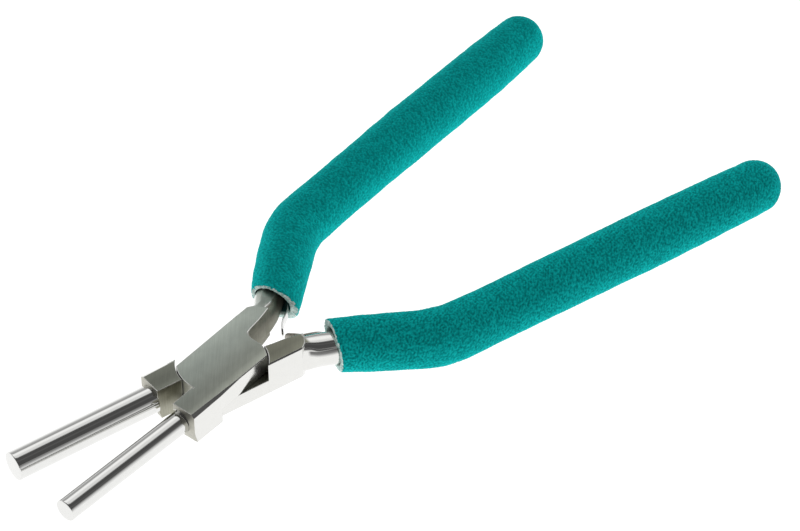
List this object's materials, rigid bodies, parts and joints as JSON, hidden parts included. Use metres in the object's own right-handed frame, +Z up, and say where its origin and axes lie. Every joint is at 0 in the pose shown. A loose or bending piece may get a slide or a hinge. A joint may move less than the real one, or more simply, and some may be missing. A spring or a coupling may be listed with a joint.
{
  "type": "mandrel pliers",
  "caption": "Open lap-joint pliers with a small and a large round forming mandrel, leaf springs between bent handles and foam sleeves closed at the rear.",
  "frame": {"origin": "on the pivot axis, on the flush lower end face of the pivot rivet (the underside of the head)", "axes": "+X forward between the two mandrels, towards their tips; +Y to the side of the bottom half's handle; +Z up along the pivot axis, out of the brushed top plate. The open tool at rest is laid out evenly about the X axis."},
  "size_m": [0.2548, 0.1194, 0.018],
  "materials": {
    "brushed_steel": "tool steel, fine satin brushing on the plates, polished on the outer sides and shanks",
    "polished_steel": "tool steel, mirror polished",
    "spring_steel": "spring strip, bright",
    "foam": "closed-cell foam rubber, teal, coarse matt suede-like skin"
  },
  "bodies": {
    "upper_half": {"top_half": "brushed_steel", "small_mandrel": "polished_steel", "leaf_spring_top": "spring_steel", "spring_rivet_top": "spring_steel", "foam_grip_top": "foam", "pivot_rivet": "brushed_steel"},
    "lower_half": {"bottom_half": "brushed_steel", "large_mandrel": "polished_steel", "leaf_spring_bottom": "spring_steel", "spring_rivet_bottom": "spring_steel", "foam_grip_bottom": "foam"}
  },
  "joints": [
    {"name": "pivot", "type": "hinge", "parent": "upper_half", "child": "lower_half", "pos_m": [0, 0, 0], "axis": [0, 0, 1], "range_deg": [-10, 13], "stiffness_Nm_per_rad": 1.5, "deforming": ["leaf_spring_top", "leaf_spring_bottom"]}
  ]
}
